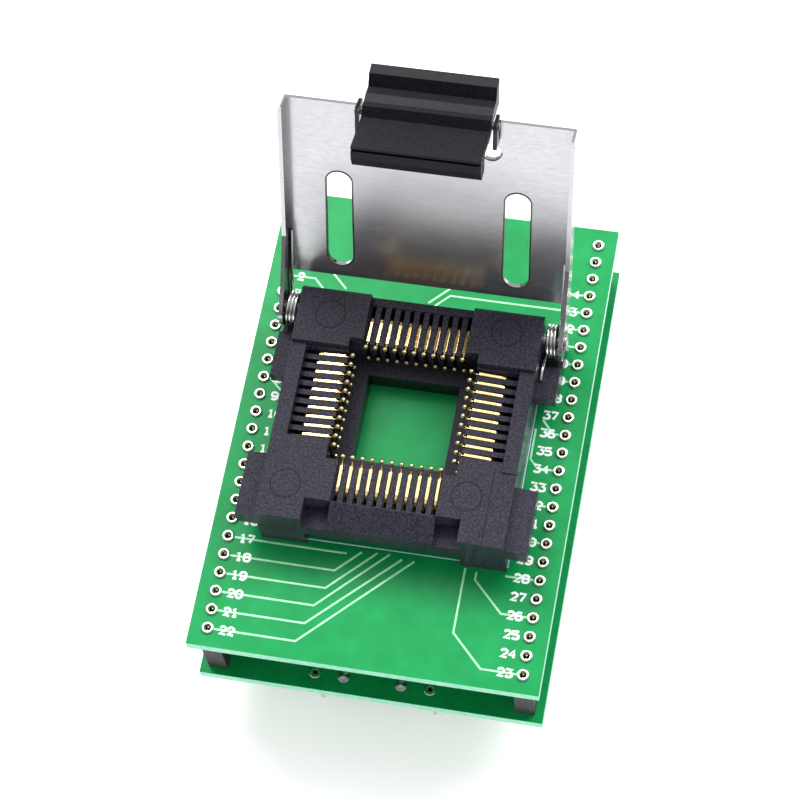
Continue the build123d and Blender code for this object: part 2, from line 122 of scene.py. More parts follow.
def less_than(material, value, limit):
    """One where a value is under a limit, and zero elsewhere."""
    node = add_node(material, "ShaderNodeMath", operation="LESS_THAN")
    node.inputs[1].default_value = limit
    link(material, value, node.inputs[0])
    return node.outputs[0]


def face_normal(material, axis):
    """One part, X, Y or Z, of the face's own normal."""
    geometry = add_node(material, "ShaderNodeNewGeometry")
    split = add_node(material, "ShaderNodeSeparateXYZ")
    link(material, geometry.outputs["True Normal"], split.inputs["Vector"])
    return split.outputs[axis]


def color_from(material, factor, stops):
    """The base colour follows a ramp."""
    shader = material.node_tree.nodes["Principled BSDF"]
    link(material, ramp(material, factor, stops), shader.inputs["Base Color"])


def roughness_from(material, factor, low, high):
    """The roughness varies between two values."""
    shader = material.node_tree.nodes["Principled BSDF"]
    node = add_node(material, "ShaderNodeMapRange")
    node.inputs["To Min"].default_value = low
    node.inputs["To Max"].default_value = high
    link(material, factor, node.inputs["Value"])
    link(material, node.outputs["Result"], shader.inputs["Roughness"])


def bump_from(material, height, strength, distance):
    """A bump from a height value."""
    shader = material.node_tree.nodes["Principled BSDF"]
    node = add_node(material, "ShaderNodeBump", Strength=strength, Distance=distance)
    link(material, height, node.inputs["Height"])
    link(material, node.outputs["Normal"], shader.inputs["Normal"])


def make_board_material():
    """Glossy green mask on the faces, and pale bare laminate on the edges."""
    material = new_material("board_mask", (0.01, 0.3, 0.1), 0.3, Specular_IOR_Level=0.15)
    shader = material.node_tree.nodes["Principled BSDF"]
    mottle = noise(material, 260.0)
    green = ramp(material, mottle, [(0.3, (0.003, 0.25, 0.06)), (0.7, (0.006, 0.31, 0.085))])
    weave = noise(material, 1500.0, stretch=(1, 1, 6))
    pale = ramp(material, weave, [(0.35, (0.10, 0.42, 0.26)), (0.65, (0.30, 0.62, 0.46))])
    size = add_node(material, "ShaderNodeMath", operation="ABSOLUTE")
    link(material, face_normal(material, "Z"), size.inputs[0])
    edge = less_than(material, size.outputs[0], 0.5)
    link(material, mix_color(material, edge, green, pale), shader.inputs["Base Color"])
    roughness_from(material, noise(material, 90.0), 0.24, 0.36)
    return material


def make_grained_dark(name, dark, light, low, high, grain, grain_scale):
    """Near-black material with a fine grain, for moulded plastic and for the painted shade in holes
    and marks.
    """
    material = new_material(name, dark, 0.5, Specular_IOR_Level=0.2)
    speck = noise(material, grain_scale, detail=4.0, roughness=0.75)
    color_from(material, speck, [(0.38, dark), (0.72, light)])
    roughness_from(material, noise(material, grain_scale * 0.5), low, high)
    bump_from(material, speck, grain, 0.0001)
    return material


def polish_walls(material, roughness):
    """Upright faces get a lower roughness than level ones, as in a mould with polished sides."""
    shader = material.node_tree.nodes["Principled BSDF"]
    grained = shader.inputs["Roughness"].links[0].from_socket
    mix = add_node(material, "ShaderNodeMix", data_type="FLOAT")
    mix.inputs["B"].default_value = roughness
    link(material, less_than(material, face_normal(material, "Z"), 0.3), mix.inputs["Factor"])
    link(material, grained, mix.inputs["A"])
    link(material, mix.outputs["Result"], shader.inputs["Roughness"])


def make_metal(name, dark, light, low, high, scale, stretch=(1, 1, 1), bump=0.0):
    """Metal whose tone and gloss vary a little."""
    material = new_material(name, dark, 0.3, 1.0)
    grain = noise(material, scale, stretch=stretch)
    color_from(material, grain, [(0.35, dark), (0.65, light)])
    roughness_from(material, noise(material, scale * 0.4, stretch=stretch), low, high)
    if bump:
        bump_from(material, grain, bump, 0.00005)
    return material


def add_pits(material, base, color):
    """Small specks of another colour over a base colour."""
    fine = noise(material, 3400.0, detail=1.0)
    pits = ramp(material, fine, [(0.23, (0.7, 0.7, 0.7)), (0.28, (0.0, 0.0, 0.0))])
    return mix_color(material, pits, base, color)


INWARD_LIMIT = -0.004


def faces_inward(material):
    """One on the faces that look along X towards the middle of the part, and zero elsewhere.

    That is where the face's place times its normal, both along X, is clearly negative.
    """
    coords = add_node(material, "ShaderNodeTexCoord")
    place = add_node(material, "ShaderNodeSeparateXYZ")
    link(material, coords.outputs["Object"], place.inputs["Vector"])
    product = add_node(material, "ShaderNodeMath", operation="MULTIPLY")
    link(material, place.outputs["X"], product.inputs[0])
    link(material, face_normal(material, "X"), product.inputs[1])
    return less_than(material, product.outputs[0], INWARD_LIMIT)


def blend_near(material, base, color, place, falloff, amount, plateau):
    """The base colour, blended to another one near a point.

    falloff is one over the reach along each axis. The blend is full as far as the plateau, a
    share of the reach, and fades from there.
    """
    coords = add_node(material, "ShaderNodeTexCoord")
    move = add_node(material, "ShaderNodeMapping")
    move.inputs["Location"].default_value = [-v for v in place]
    link(material, coords.outputs["Object"], move.inputs["Vector"])
    shrink = add_node(material, "ShaderNodeVectorMath", operation="MULTIPLY")
    shrink.inputs[1].default_value = falloff
    link(material, move.outputs["Vector"], shrink.inputs[0])
    distance = add_node(material, "ShaderNodeVectorMath", operation="LENGTH")
    link(material, shrink.outputs["Vector"], distance.inputs[0])
    full = (amount, amount, amount)
    patch = ramp(material, distance.outputs["Value"], [(plateau, full), (1.0, (0.0, 0.0, 0.0))])
    return mix_color(material, patch, base, color)


# Tones of the lid's pits, painted shade and painted reflection, and the places of the painted
# patches, in metres in the row frame
LID_PIT_AND_SHADE_TONE = (0.26, 0.26, 0.27)
LID_SHADE_PLACE = (0.002, 0.0218, 0.0388)
LID_SHADE_FALLOFF = (45.0, 80.0, 80.0)
LID_PAINTED_REFLECTION = (0.36, 0.25, 0.15)
LID_REFLECTION_PLACE = (-0.0015, 0.0183, 0.0311)
LID_REFLECTION_FALLOFF = (105.0, 280.0, 280.0)
LID_TAB_SHADE = (0.03, 0.03, 0.035)
LID_TAB_PLACES = ((-0.00868, 0.0275, 0.0542), (0.00868, 0.0275, 0.0542))
LID_TAB_FALLOFF = (2000.0, 360.0, 360.0)
LID_INSIDE_SHADE = (0.035, 0.035, 0.04)
LID_METALLIC = 0.92


def make_lid_material():
    """Satin stainless sheet with fine scratches and pits, two patches (painted shade on its lower
    part and a painted reflection), and painted shade on the tabs and flange insides.
    """
    tones = (0.49, 0.49, 0.515), (0.56, 0.56, 0.585)
    material = make_metal("lid_steel", *tones, 0.17, 0.25, 900.0, (1.0, 4.0, 4.0), 0.03)
    shader = material.node_tree.nodes["Principled BSDF"]
    shader.inputs["Metallic"].default_value = LID_METALLIC
    base = shader.inputs["Base Color"].links[0].from_socket
    # Painted shade: the lid's lower part is blended towards a dull grey
    base = blend_near(material, base, LID_PIT_AND_SHADE_TONE, LID_SHADE_PLACE, LID_SHADE_FALLOFF, 0.62, 0.45)
    # Painted reflection: a warm tint low on the lid
    base = blend_near(material, base, LID_PAINTED_REFLECTION, LID_REFLECTION_PLACE, LID_REFLECTION_FALLOFF, 0.6, 0.3)
    base = add_pits(material, base, LID_PIT_AND_SHADE_TONE)
    # Painted shade: the tabs are blended to near-black
    for place in LID_TAB_PLACES:
        base = blend_near(material, base, LID_TAB_SHADE, place, LID_TAB_FALLOFF, 1.0, 0.8)
    # Painted shade: faces that look inwards along X, the flanges' insides among them, are
    # near-black
    base = mix_color(material, faces_inward(material), base, LID_INSIDE_SHADE)
    link(material, base, shader.inputs["Base Color"])
    return material


# Meshes


def add_mesh(name, vertices, faces, material, body, smooth=True):
    """A mesh piece that rides on a body, from millimetre points in the row frame."""
    mesh = bpy.data.meshes.new(name)
    mesh.from_pydata([Vector(v) * MM for v in vertices], [], faces)
    mesh.update()
    mesh.materials.append(material)
    for polygon in mesh.polygons:
        polygon.use_smooth = smooth
    piece = bpy.data.objects.new(name, mesh)
    bpy.context.collection.objects.link(piece)
    if body:
        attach(piece, body)
    return piece


def lathe(profile, steps, x, y, z):
    """Vertices and faces of a profile of (radius, height) points turned about a vertical axis."""
    vertices = []
    faces = []
    for radius, height in profile:
        for i in range(steps):
            a = 2 * math.pi * i / steps
            vertices.append((x + radius * math.cos(a), y + radius * math.sin(a), z + height))
    for row in range(len(profile) - 1):
        for i in range(steps):
            j = (i + 1) % steps
            a = row * steps
            b = a + steps
            faces.append((a + i, a + j, b + j, b + i))
    return vertices, faces


def lathe_group(name, profile, steps, places, material, body, slot):
    """One piece made of the same turned shape at several places."""
    vertices = []
    faces = []
    for x, y, z in places:
        points, quads = lathe(profile, steps, x, y, z)
        start = len(vertices)
        vertices += points
        faces += [tuple(start + i for i in quad) for quad in quads]
    return add_mesh(name, vertices, faces, material, body)


def tube(name, path, radius, steps, material, body):
    """A round wire along a path of millimetre points, closed at both ends."""
    vertices = []
    faces = []
    points = [Vector(p) for p in path]
    side = Vector((1, 0, 0))
    for k, point in enumerate(points):
        ahead = points[min(k + 1, len(points) - 1)] - points[max(k - 1, 0)]
        ahead.normalize()
        side = (side - ahead * side.dot(ahead)).normalized()
        up = ahead.cross(side)
        for i in range(steps):
            a = 2 * math.pi * i / steps
            vertices.append(point + side * (radius * math.cos(a)) + up * (radius * math.sin(a)))
    for k in range(len(points) - 1):
        for i in range(steps):
            j = (i + 1) % steps
            a = k * steps
            b = a + steps
            faces.append((a + i, a + j, b + j, b + i))
    faces.append(tuple(range(steps - 1, -1, -1)))
    last = (len(points) - 1) * steps
    faces.append(tuple(range(last, last + steps)))
    return add_mesh(name, vertices, faces, material, body)


def strokes(name, lines, width, height, z, material, slot="board"):
    """Raised flat lines on a level face: each line is a list of (x, y) points in millimetres."""
    data = bpy.data.curves.new(name, "CURVE")
    data.dimensions = "3D"
    data.bevel_depth = width / 2 * MM
    data.bevel_resolution = 2
    data.use_fill_caps = True
    for line in lines:
        spline = data.splines.new("POLY")
        spline.points.add(len(line) - 1)
        for point, (x, y) in zip(spline.points, line):
            point.co = (x * MM, y * MM, 0, 1)
    data.materials.append(material)
    piece = bpy.data.objects.new(name, data)
    bpy.context.collection.objects.link(piece)
    piece.location = (0, 0, z * MM)
    piece.scale = (1, 1, 2 * height / width)
    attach(piece, "base")
    return piece


def soften(piece, width, segments=2, angle=35):
    """Rounds a piece's edges that are sharper than an angle."""
    modifier = piece.modifiers.new("edges", "BEVEL")
    modifier.width = width * MM
    modifier.segments = segments
    modifier.limit_method = "ANGLE"
    modifier.angle_limit = math.radians(angle)


# Marks on the upper board

DIGITS = {
    "0": [
        [
            (0, 0.2), (0, 0.8), (0.2, 1), (0.4, 1), (0.6, 0.8),
            (0.6, 0.2), (0.4, 0), (0.2, 0), (0, 0.2),
        ],
    ],
    "1": [[(0.1, 0.8), (0.3, 1), (0.3, 0)], [(0.1, 0), (0.5, 0)]],
    "2": [[(0, 0.8), (0.2, 1), (0.4, 1), (0.6, 0.8), (0.6, 0.6), (0, 0), (0.6, 0)]],
    "3": [
        [
            (0, 1), (0.6, 1), (0.3, 0.6), (0.45, 0.6), (0.6, 0.4),
            (0.6, 0.15), (0.45, 0), (0.15, 0), (0, 0.15),
        ],
    ],
    "4": [[(0.45, 0), (0.45, 1), (0, 0.35), (0.6, 0.35)]],
    "5": [
        [
            (0.6, 1), (0, 1), (0, 0.58), (0.4, 0.6), (0.6, 0.42),
            (0.6, 0.15), (0.4, 0), (0.15, 0), (0, 0.12),
        ],
    ],
    "6": [
        [(0.55, 0.9), (0.4, 1), (0.2, 1), (0, 0.75), (0, 0.2), (0.15, 0), (0.45, 0)],
        [(0.45, 0), (0.6, 0.2), (0.6, 0.4), (0.45, 0.57), (0.15, 0.57), (0, 0.4)],
    ],
    "7": [[(0, 1), (0.6, 1), (0.2, 0)]],
    "8": [
        [
            (0.15, 0.55), (0, 0.7), (0, 0.85), (0.15, 1), (0.45, 1),
            (0.6, 0.85), (0.6, 0.7), (0.45, 0.55), (0.15, 0.55),
        ],
        [
            (0.15, 0.55), (0, 0.4), (0, 0.15), (0.15, 0),
            (0.45, 0), (0.6, 0.15), (0.6, 0.4), (0.45, 0.55),
        ],
    ],
    "9": [
        [(0, 0.1), (0.2, 0), (0.4, 0), (0.6, 0.25), (0.6, 0.8), (0.45, 1), (0.15, 1), (0, 0.8)],
        [(0, 0.8), (0, 0.6), (0.15, 0.43), (0.45, 0.43), (0.6, 0.6)],
    ],
}
FIGURE_HEIGHT = 1.0
FIGURE_STRETCH = 1.3
FIGURE_STEP = 1.04
FIGURE_LINE_WIDTH = 0.35
NUMBERED_PINS = 22
LEFT_FIGURE_OFFSET = 1.59
RIGHT_FIGURE_OFFSET = 3.23
OUTLINE_X = 16.03
OUTLINE_Y = 16.55
OUTLINE_LINE_WIDTH = 0.2
INK_HEIGHT = 0.02


def row_y(k):
    """Y of pin k of a row, counted from the front."""
    return (k - (PINS_PER_ROW - 1) / 2) * PIN_PITCH


def row_places(x, z):
    """The places of the pins of two rows, at x on either side."""
    return [(side * x, row_y(k), z) for side in (-1, 1) for k in range(PINS_PER_ROW)]


def figure_lines(text, left, y):
    """The strokes of a number that starts at left and is centred on y."""
    lines = []
    width = FIGURE_HEIGHT * FIGURE_STRETCH
    for i, character in enumerate(text):
        for line in DIGITS[character]:
            x0 = left + i * FIGURE_STEP
            y0 = y - FIGURE_HEIGHT / 2
            lines.append([(x0 + u * width, y0 + v * FIGURE_HEIGHT) for u, v in line])
    return lines


def add_marks(ink, pale_ink):
    """White numbers beside the outer rows, and the socket's outline."""
    lines = []
    for k in range(NUMBERED_PINS):
        left_text, right_text = str(NUMBERED_PINS - k), str(NUMBERED_PINS + 1 + k)
        lines += figure_lines(left_text, -OUTER_ROW_X + LEFT_FIGURE_OFFSET, row_y(k))
        lines += figure_lines(right_text, OUTER_ROW_X - RIGHT_FIGURE_OFFSET, row_y(k))
    strokes("silk_numbers", lines, FIGURE_LINE_WIDTH, INK_HEIGHT, BOARD_TOP, ink)
    x, y = OUTLINE_X, OUTLINE_Y
    outline = [(-x, -y), (x, -y), (x, y), (-x, y), (-x, -y)]
    strokes("silk_outline", [outline], OUTLINE_LINE_WIDTH, INK_HEIGHT, BOARD_TOP, pale_ink)


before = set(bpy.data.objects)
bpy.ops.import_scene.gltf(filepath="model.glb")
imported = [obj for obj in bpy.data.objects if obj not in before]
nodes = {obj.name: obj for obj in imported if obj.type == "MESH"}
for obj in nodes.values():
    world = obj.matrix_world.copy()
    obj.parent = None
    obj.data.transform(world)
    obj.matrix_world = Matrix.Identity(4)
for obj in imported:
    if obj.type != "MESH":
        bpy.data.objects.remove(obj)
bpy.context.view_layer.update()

# Materials

board_mask = make_board_material()

# Plastics, and the near-black painted shade of holes and marks: dark and light tone, low and high
# roughness, grain and its scale
body_tones = (0.006, 0.005, 0.009), (0.052, 0.049, 0.075)
body_plastic = make_grained_dark("body_plastic", *body_tones, 0.5, 0.68, 0.35, 3600.0)
polish_walls(body_plastic, 0.16)
strip_tones = (0.014, 0.013, 0.015), (0.040, 0.037, 0.042)
strip_plastic = make_grained_dark("strip_plastic", *strip_tones, 0.4, 0.6, 0.15, 1800.0)
latch_tones = (0.003, 0.003, 0.005), (0.012, 0.0115, 0.017)
latch_plastic = make_grained_dark("latch_plastic", *latch_tones, 0.40, 0.52, 0.15, 2400.0)
painted_shade_tones = (0.004, 0.004, 0.004), (0.01, 0.009, 0.008)
painted_shade_black = make_grained_dark("painted_shade_black", *painted_shade_tones, 0.6, 0.8, 0.1, 2000.0)

# Metals: dark and light tone, low and high roughness, scale of the grain
gold = make_metal("gold_plate", (0.84, 0.58, 0.22), (0.96, 0.74, 0.38), 0.16, 0.30, 1400.0)
# A paler copy of the gold, as painted highlight on the contacts' beads and the receptacles' clips
highlight_gold = make_metal("painted_highlight_gold", (0.93, 0.72, 0.36), (0.98, 0.84, 0.55), 0.22, 0.34, 1400.0)
tinned = make_metal("tinned_brass", (0.78, 0.78, 0.76), (0.90, 0.90, 0.88), 0.2, 0.34, 1500.0)
pin_metal = make_metal("pin_plate", (0.72, 0.68, 0.58), (0.85, 0.80, 0.70), 0.2, 0.32, 1500.0)
spring_wire = make_metal("spring_wire", (0.74, 0.74, 0.74), (0.88, 0.88, 0.88), 0.12, 0.2, 1800.0)
# Dark metal for the rims of the lid's holes, and as painted shade on the latch pin
dark_rim_and_shade_metal = make_metal("dark_rims_and_painted_pin_shade", (0.12, 0.11, 0.12), (0.22, 0.20, 0.21), 0.3, 0.45, 1500.0)
turned_tones = (0.48, 0.47, 0.45), (0.62, 0.61, 0.60)
turned_steel = make_metal("turned_steel", *turned_tones, 0.24, 0.36, 1500.0)
lid_steel = make_lid_material()
solder = make_metal("solder", (0.70, 0.70, 0.72), (0.85, 0.85, 0.86), 0.22, 0.4, 1200.0)

# Inks and the mask over the tracks
ink = new_material("white_ink", (0.9, 0.93, 0.92), 0.55)
color_from(ink, noise(ink, 2500.0), [(0.3, (0.84, 0.90, 0.88)), (0.6, (0.96, 0.97, 0.97))])
outline_ink = new_material("outline_ink", (0.5, 0.65, 0.8), 0.5)
outline_stops = [(0.3, (0.45, 0.62, 0.78)), (0.6, (0.60, 0.76, 0.90))]
color_from(outline_ink, noise(outline_ink, 2500.0), outline_stops)
track_mask = new_material("track_mask", (0.35, 0.80, 0.45), 0.3)
track_stops = [(0.3, (0.30, 0.74, 0.40)), (0.7, (0.45, 0.86, 0.55))]
color_from(track_mask, noise(track_mask, 900.0), track_stops)

# CAD nodes that are shown; the pieces below replace the others
by_node = {
    "bottom_board": board_mask,
    "top_board": board_mask,
    "hinge_pins": turned_steel,
    "lid_plate": lid_steel,
    # The latch pin takes the dark metal as painted shade
    "latch_pin": dark_rim_and_shade_metal,
    "latch": latch_plastic,
}
for _, word in SIDES:
    by_node[f"dip_strip_{word}"] = strip_plastic
    by_node[f"header_strip_{word}"] = strip_plastic
    by_node[f"header_contacts_{word}"] = pin_metal
    by_node[f"carrier_strip_{word}"] = strip_plastic
for name, material in by_node.items():
    data = nodes[name].data
    data.materials.clear()
    data.materials.append(material)

LATCH_EDGE = 0.16
LID_EDGE = 0.1
soften(nodes["latch"], LATCH_EDGE, 3)
soften(nodes["lid_plate"], LID_EDGE)

# Moulded body, heights above the upper board: the ribs between the contacts lie a little lower
# than the blocks and walls round them, and the front blocks reach over the foremost side slots

RIB_TOP = 7.25
RIB_CUT_TOP = 8.0
RIB_INNER = 8.4
RIB_OUTER = 14.0
RIB_HALF_SPAN = 6.8
ROOF_BOTTOM = 7.45
ROOF_TOP = 8.2
ROOF_INNER_X = 8.47
ROOF_FRONT_Y = -7.2
ROOF_BACK_Y = -5.95
BAND_X = 13.1
BAND_TOP = 8.05
BODY_EDGE = 0.08
BOX_FACES = ((0, 2, 3, 1), (4, 5, 7, 6), (0, 1, 5, 4), (2, 6, 7, 3), (0, 4, 6, 2), (1, 3, 7, 5))


def box_mesh(name, boxes):
    """A mesh of separate boxes, each between two corners (heights above the upper board)."""
    vertices = []
    faces = []
    for low, high in boxes:
        start = len(vertices)
        for i in range(8):
            x, y, z = [(low, high)[(i >> axis) & 1][axis] for axis in range(3)]
            vertices.append(Vector((x, y, z + BOARD_TOP)) * MM)
        faces += [tuple(start + k for k in quad) for quad in BOX_FACES]
    mesh = bpy.data.meshes.new(name)
    mesh.from_pydata(vertices, [], faces)
    tool = bpy.data.objects.new(name, mesh)
    bpy.context.collection.objects.link(tool)
    return tool


def reshape(piece, tool, operation):
    """Cuts a tool mesh from a piece, or joins it on, and removes the tool."""
    modifier = piece.modifiers.new("reshape", "BOOLEAN")
    modifier.operation = operation
    modifier.solver = "EXACT"
    modifier.object = tool
    shape = piece.evaluated_get(bpy.context.evaluated_depsgraph_get())
    mesh = bpy.data.meshes.new_from_object(shape)
    piece.modifiers.clear()
    piece.data = mesh
    bpy.data.objects.remove(tool)


def add_moulded_body():
    """A copy of the body with lower ribs and roofed front slots, which replaces the CAD node."""
    inner, outer, half = RIB_INNER, RIB_OUTER, RIB_HALF_SPAN
    low, high = RIB_TOP, RIB_CUT_TOP
    ribs = [
        ((inner, -half, low), (outer, half, high)),
        ((-outer, -half, low), (-inner, half, high)),
        ((-half, inner, low), (half, outer, high)),
        ((-half, -outer, low), (half, -inner, high)),
    ]
    roofs = [
        ((-outer, ROOF_FRONT_Y, ROOF_BOTTOM), (-ROOF_INNER_X, ROOF_BACK_Y, ROOF_TOP)),
        ((ROOF_INNER_X, ROOF_FRONT_Y, ROOF_BOTTOM), (BAND_X, ROOF_BACK_Y, ROOF_TOP)),
        ((BAND_X, ROOF_FRONT_Y, ROOF_BOTTOM), (outer, ROOF_BACK_Y, BAND_TOP)),
    ]
    piece = bpy.data.objects.new("moulded_body", nodes["socket_body"].data.copy())
    bpy.context.collection.objects.link(piece)
    reshape(piece, box_mesh("rib_cutter", ribs), "DIFFERENCE")
    for roof in roofs:
        reshape(piece, box_mesh("slot_roof", [roof]), "UNION")
    piece.data.materials.clear()
    piece.data.materials.append(body_plastic)
    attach(piece, "base")
    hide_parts("socket_body")
    soften(piece, BODY_EDGE)


add_moulded_body()

# Receptacle pins: round hollow heads with gold inside; profiles are (radius, height) points

CLIP_OFFSET = 0.26
HEAD_STEPS = 20
THROAT_STEPS = 16
CLIP_STEPS = 8
RIM_PROFILE = [
    (0.35, -7.0),
    (0.35, -1.65),
    (0.55, -1.6),
    (0.8, 0.0),
    (0.82, 0.14),
    (0.76, 0.26),
    (0.62, 0.30),
    (0.50, 0.27),
]
WALL_PROFILE = [(0.50, 0.27), (0.44, 0.05), (0.42, -0.5)]
THROAT_PROFILE = [(0.42, -0.5), (0.4, -0.9), (0.02, -0.95)]
CLIP_PROFILE = [(0.17, -0.4), (0.13, -0.2), (0.01, -0.16)]

outer_places = row_places(OUTER_ROW_X, BOARD_TOP)
clip_places = [(x, y + side * CLIP_OFFSET, z) for x, y, z in outer_places for side in (-1, 1)]
head = outer_places, tinned, "base", "receptacle"
rims = lathe_group("receptacle_rims", RIM_PROFILE, HEAD_STEPS, *head)
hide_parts("receptacle_pins_left", "receptacle_pins_right")
lathe_group("receptacle_walls", WALL_PROFILE, HEAD_STEPS, *head)
# The throats are lined with near-black painted shade down into the bore
throat = outer_places, painted_shade_black, "base", "receptacle"
lathe_group("receptacle_throats", THROAT_PROFILE, THROAT_STEPS, *throat)
# The clips take the paler gold as painted highlight
clip = clip_places, highlight_gold, "base", "contact"
lathe_group("receptacle_clips", CLIP_PROFILE, CLIP_STEPS, *clip)

# Adapter pins: round, with a tapered tip

PIN_STEPS = 16
PIN_PROFILE = [(0.01, 0.0), (0.17, 0.02), (0.25, 0.3), (0.25, LOWER_BOARD_TOP)]
pin_places = row_places(INNER_ROW_X, 0)
pins = lathe_group("adapter_pins", PIN_PROFILE, PIN_STEPS, pin_places, pin_metal, "base", "pin")
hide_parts("dip_pins_left", "dip_pins_right")

# Holes and solder of the lower board

PAD_STEPS = 18
HOLLOW_PROFILE = [(0.8, 0.005), (0.76, 0.04), (0.5, 0.05), (0.42, 0.0), (0.36, 0.02)]
DOME_PROFILE = [(0.8, 0.005), (0.72, 0.05), (0.55, 0.22), (0.38, 0.38), (0.2, 0.46), (0.01, 0.48)]
hollow = row_places(INNER_ROW_X, LOWER_BOARD_TOP), tinned, "base", "pin"
lathe_group("hollow_pads", HOLLOW_PROFILE, PAD_STEPS, *hollow)
filled = row_places(FILLED_ROW_X, LOWER_BOARD_TOP), solder, "base", "receptacle"
lathe_group("solder_domes", DOME_PROFILE, PAD_STEPS, *filled)

# Torsion springs: the coil winds up from the body's leg to the lid's leg

SPRING_RADIUS = 2.1
SPRING_WIRE = 0.46
SPRING_PITCH = 0.48
SPRING_INNER_X = 16.36
SPRING_SEAT_GAP = 0.03
SPRING_TURNS = 3
SPRING_STEPS = 130
WIRE_STEPS = 10
LEDGE_TOP = 4.3
RELIEF_RADIUS = 3.4
BODY_LEG_END_Y = 7.8
LID_LEG_END_U = 10.5


def in_lid(u, n):
    """(y, z) of a lid point at rest, in millimetres."""
    a = math.radians(LID_REST_ANGLE)
    return HINGE_Y + u * math.cos(a) - n * math.sin(a), HINGE_Z + u * math.sin(a) + n * math.cos(a)


def spring_path(side):
    """Centre line of a spring from its body leg to its lid leg."""
    rest_z = BOARD_TOP + LEDGE_TOP + SPRING_WIRE / 2 + SPRING_SEAT_GAP
    bend_y = HINGE_Y - RELIEF_RADIUS + SPRING_SEAT_GAP
    dy = bend_y - HINGE_Y
    dz = rest_z - HINGE_Z
    start = math.atan2(dz, dy) + math.acos(SPRING_RADIUS / math.hypot(dy, dz))
    end = math.radians(LID_REST_ANGLE - 90)
    while end < start:
        end += 2 * math.pi
    end += 2 * math.pi * SPRING_TURNS
    leg_x = side * SPRING_INNER_X
    path = [(leg_x, BODY_LEG_END_Y, rest_z), (leg_x, bend_y, rest_z)]
    for i in range(SPRING_STEPS + 1):
        t = i / SPRING_STEPS
        a = start + (end - start) * t
        x = side * (SPRING_INNER_X + SPRING_PITCH * (end - start) / (2 * math.pi) * t)
        y = HINGE_Y + SPRING_RADIUS * math.cos(a)
        z = HINGE_Z + SPRING_RADIUS * math.sin(a)
        path.append((x, y, z))
    y, z = in_lid(LID_LEG_END_U, LID_INNER_N + SPRING_WIRE / 2 + SPRING_SEAT_GAP)
    path.append((path[-1][0], y, z))
    return path


for side, word in SIDES:
    path = spring_path(side)
    radius = SPRING_WIRE / 2
    spring = tube(f"spring_{word}", path, radius, WIRE_STEPS, spring_wire, None)
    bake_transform(spring)
    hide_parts(f"torsion_spring_{word}")

add_marks(ink, outline_ink)

# Dark rims round the lid's slots and keyholes

LID_SLOT_X = 11.55
LID_SLOT_START_U = 5.5
LID_SLOT_END_U = 20.7
LID_SLOT_HALF_WIDTH = 1.675
KEYHOLE_X = 8.0
KEYHOLE_U = 26.8
KEYHOLE_RADIUS = 1.2
RIM_OFFSET = 0.1
RIM_RADIUS = 0.11
RIM_TUBE_STEPS = 8
RIM_STEPS = 24
KEYHOLE_STEPS = 18


def rim_path(x, start_u, end_u, half_width):
    """A closed path round a slot of the lid, on its inner face."""
    radius = half_width + RIM_OFFSET
    path = []
    for i in range(RIM_STEPS + 1):
        a = 2 * math.pi * i / RIM_STEPS
        middle_u = end_u - half_width if math.sin(a) > 1e-9 else start_u + half_width
        y, z = in_lid(middle_u + radius * math.sin(a), LID_INNER_N)
        path.append((x + radius * math.cos(a), y, z))
    return path


def keyhole_path(x):
    """The path round the lower half of a keyhole of the lid, on its inner face."""
    radius = KEYHOLE_RADIUS + RIM_OFFSET
    path = []
    for i in range(KEYHOLE_STEPS + 1):
        a = math.pi * (1 + i / KEYHOLE_STEPS)
        y, z = in_lid(KEYHOLE_U + radius * math.sin(a), LID_INNER_N)
        path.append((x + radius * math.cos(a), y, z))
    return path


for side, word in SIDES:
    path = rim_path(side * LID_SLOT_X, LID_SLOT_START_U, LID_SLOT_END_U, LID_SLOT_HALF_WIDTH)
    tube(f"slot_rim_{word}", path, RIM_RADIUS, RIM_TUBE_STEPS, dark_rim_and_shade_metal, "lid")
    path = keyhole_path(side * KEYHOLE_X)
    tube(f"keyhole_rim_{word}", path, RIM_RADIUS, RIM_TUBE_STEPS, dark_rim_and_shade_metal, "lid")

# Tracks under the mask, from the pins' rings towards the socket: the pin's number in its row,
# counted from the front, and the track's further points as (x, y from the pin)

RING_RADIUS = 0.8
TRACK_WIDTH = 0.3
TRACK_HEIGHT = 0.012
LEFT_TRACKS = [
    (0, [(-8.9, 0), (4.1, 12.9)]),
    (1, [(-8.2, 0), (2.5, 10.4)]),
    (2, [(-7.5, 0), (0.8, 8.3)]),
    (3, [(-6.5, 0), (-0.8, 5.7)]),
    (4, [(-5.8, 0), (-2.8, 3.0)]),
    (5, [(-4.7, 0)]),
    (7, [(-17.8, 0)]),
    (14, [(-17.6, -1.7)]),
    (20, [(-16.4, 0), (-15.1, -1.3)]),
    (21, [(-15.6, 0), (-12.0, -3.5)]),
]
RIGHT_TRACKS = [
    (0, [(14.9, 0), (10.7, 4.2), (10.7, 13.0)]),
    (3, [(16.2, 0), (12.2, 4.0), (12.2, 5.1)]),
    (5, [(15.9, 0)]),
    (7, [(18.4, 0)]),
    (9, [(18.4, 0)]),
    (11, [(17.5, 0), (16.4, 1.2), (16.4, 5.5)]),
    (13, [(18.7, 0), (17.1, 1.8)]),
    (16, [(18.2, 0)]),
    (17, [(18.2, 0)]),
    (18, [(18.2, 0)]),
    (19, [(17.9, 0)]),
    (20, [(2.0, 0), (0.0, -2.0)]),
    (21, [(3.3, 0), (-0.7, -4.0)]),
]
tracks = []
for side, table in ((-1, LEFT_TRACKS), (1, RIGHT_TRACKS)):
    for k, points in table:
        y = row_y(k)
        start = (side * (OUTER_ROW_X - RING_RADIUS), y)
        tracks.append([start] + [(x, y + dy) for x, dy in points])
strokes("tracks", tracks, TRACK_WIDTH, TRACK_HEIGHT, BOARD_TOP, track_mask)

# Ejector marks on the four corner blocks of the body: x, y and the block's height above the
# upper board

